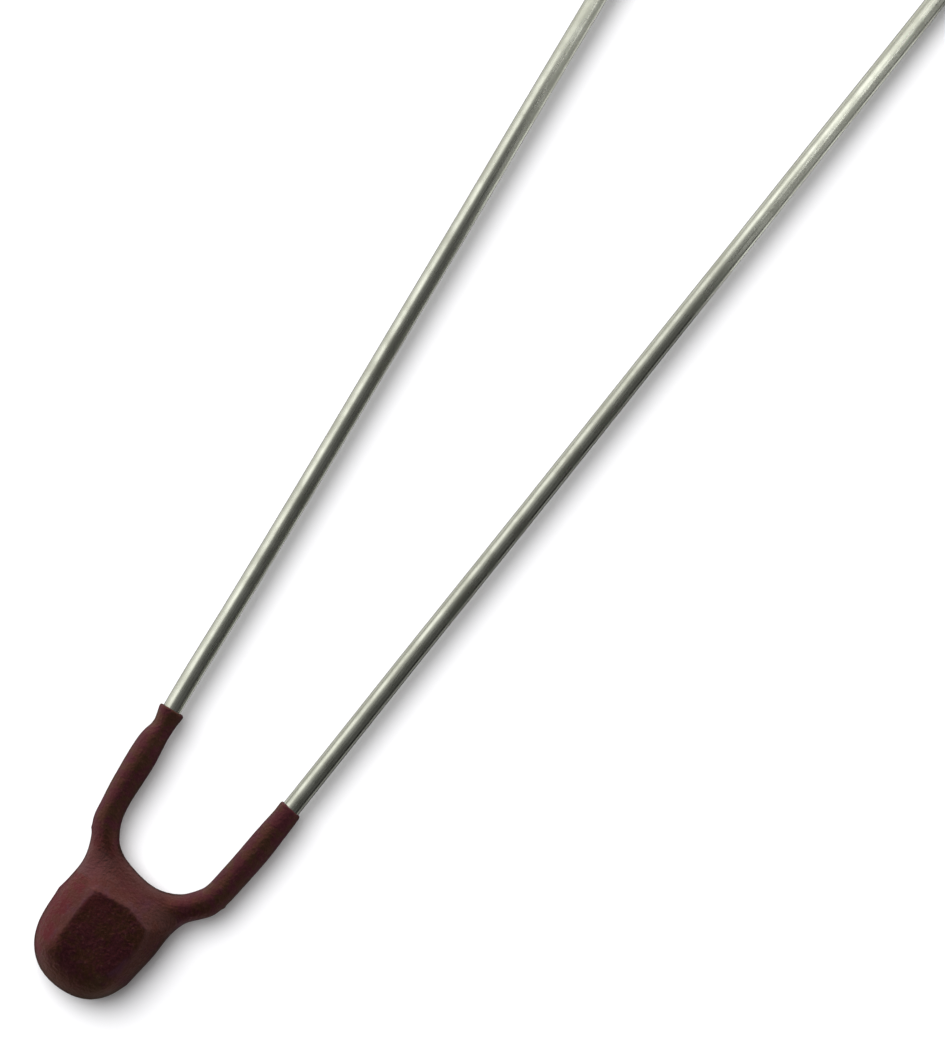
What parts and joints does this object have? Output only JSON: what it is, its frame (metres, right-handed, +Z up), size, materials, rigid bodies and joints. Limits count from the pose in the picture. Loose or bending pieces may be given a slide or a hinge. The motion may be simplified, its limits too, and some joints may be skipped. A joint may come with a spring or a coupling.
{
  "type": "ntc thermistor",
  "caption": "Dip-coated bead whose electrical resistance falls as it warms, with long bare tinned wire leads.",
  "frame": {"origin": "middle of the bead's flat underside", "axes": "+X across the bead from the left leg to the right leg, +Y along the bead towards the lead tips, +Z up, square to the bead's flat face"},
  "size_m": [0.0091, 0.0417, 0.0018],
  "materials": {
    "dipped_resin": "satin dark maroon dip coat, slightly mottled and uneven",
    "tinned_wire": "smooth bright tin, faintly warm",
    "metal_oxide_ceramic": "dull dark grey, sawn",
    "fired_silver": "matt fired silver",
    "solder": "satin solder"
  },
  "bodies": {
    "root": {"coating": "dipped_resin", "lead_left": "tinned_wire", "lead_right": "tinned_wire", "ceramic_chip": "metal_oxide_ceramic", "electrode_left": "fired_silver", "electrode_right": "fired_silver", "solder_left": "solder", "solder_right": "solder"}
  },
  "joints": []
}
